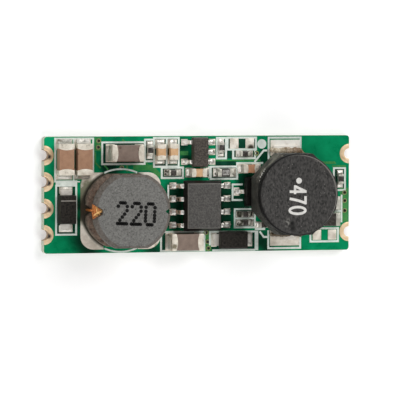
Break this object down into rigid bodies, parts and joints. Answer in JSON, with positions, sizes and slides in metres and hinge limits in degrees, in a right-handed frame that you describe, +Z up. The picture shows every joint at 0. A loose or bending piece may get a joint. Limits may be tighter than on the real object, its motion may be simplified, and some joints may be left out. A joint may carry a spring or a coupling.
{
  "type": "led driver module",
  "caption": "Open-frame LED driver on a green circuit board with plated half-hole terminals at both ends, two power inductors and small surface-mount parts.",
  "frame": {"origin": "middle of the board's underside", "axes": "+X along the board from the input terminals to the output terminals, +Z up through the parts"},
  "size_m": [0.0308, 0.0112, 0.0057],
  "materials": {
    "green_mask_laminate": "glossy solder mask",
    "gold_plating": "dull gold plating",
    "plated_copper": "plated and part covered by mask",
    "solder": "satin solder",
    "tinned_ends": "satin tin",
    "brown_ceramic": "matt fired ceramic",
    "grey_brown_ceramic": "matt fired ceramic",
    "tan_ceramic": "matt fired ceramic",
    "white_ceramic": "matt alumina",
    "black_glass_coat": "glossy glass coat",
    "black_moulding": "matt moulded epoxy",
    "tinned_leads": "satin tin",
    "grey_ferrite": "ground ferrite",
    "black_ferrite": "sintered ferrite",
    "enamelled_copper": "clear enamel on copper"
  },
  "bodies": {
    "root": {"circuit_board": "green_mask_laminate", "input_terminals": "gold_plating", "output_terminals": "gold_plating", "via_barrels": "plated_copper", "solder_lands": "solder", "solder_joints": "solder", "input_capacitor_a_body": "brown_ceramic", "input_capacitor_a_ends": "tinned_ends", "input_capacitor_b_body": "brown_ceramic", "input_capacitor_b_ends": "tinned_ends", "filter_capacitor_body": "grey_brown_ceramic", "filter_capacitor_ends": "tinned_ends", "supply_capacitor_body": "grey_brown_ceramic", "supply_capacitor_ends": "tinned_ends", "small_capacitor_a_body": "tan_ceramic", "small_capacitor_a_ends": "tinned_ends", "small_capacitor_b_body": "tan_ceramic", "small_capacitor_b_ends": "tinned_ends", "small_capacitor_c_body": "tan_ceramic", "small_capacitor_c_ends": "tinned_ends", "small_capacitor_d_body": "tan_ceramic", "small_capacitor_d_ends": "tinned_ends", "sense_resistor_a_body": "white_ceramic", "sense_resistor_a_ends": "tinned_ends", "sense_resistor_b_body": "white_ceramic", "sense_resistor_b_ends": "tinned_ends", "middle_resistor_body": "white_ceramic", "middle_resistor_ends": "tinned_ends", "tiny_resistor_a": "white_ceramic", "tiny_resistor_b": "white_ceramic", "tiny_resistor_c": "white_ceramic", "tiny_resistor_d": "white_ceramic", "tiny_resistor_e": "white_ceramic", "tiny_resistor_f": "white_ceramic", "tiny_resistor_g": "white_ceramic", "tiny_resistor_h": "white_ceramic", "tiny_resistor_ends": "tinned_ends", "resistor_coats": "black_glass_coat", "driver_body": "black_moulding", "driver_leads": "tinned_leads", "regulator_body": "black_moulding", "regulator_leads": "tinned_leads", "transistor_body": "black_moulding", "transistor_leads": "tinned_leads", "input_diode_body": "black_moulding", "input_diode_leads": "tinned_leads", "output_diode_body": "black_moulding", "output_diode_leads": "tinned_leads", "filter_inductor_core": "grey_ferrite", "filter_inductor_winding": "enamelled_copper", "filter_inductor_terminals": "tinned_leads", "output_inductor_core": "black_ferrite", "output_inductor_shield": "black_ferrite", "output_inductor_winding": "enamelled_copper", "output_inductor_terminals": "tinned_leads"}
  },
  "joints": []
}
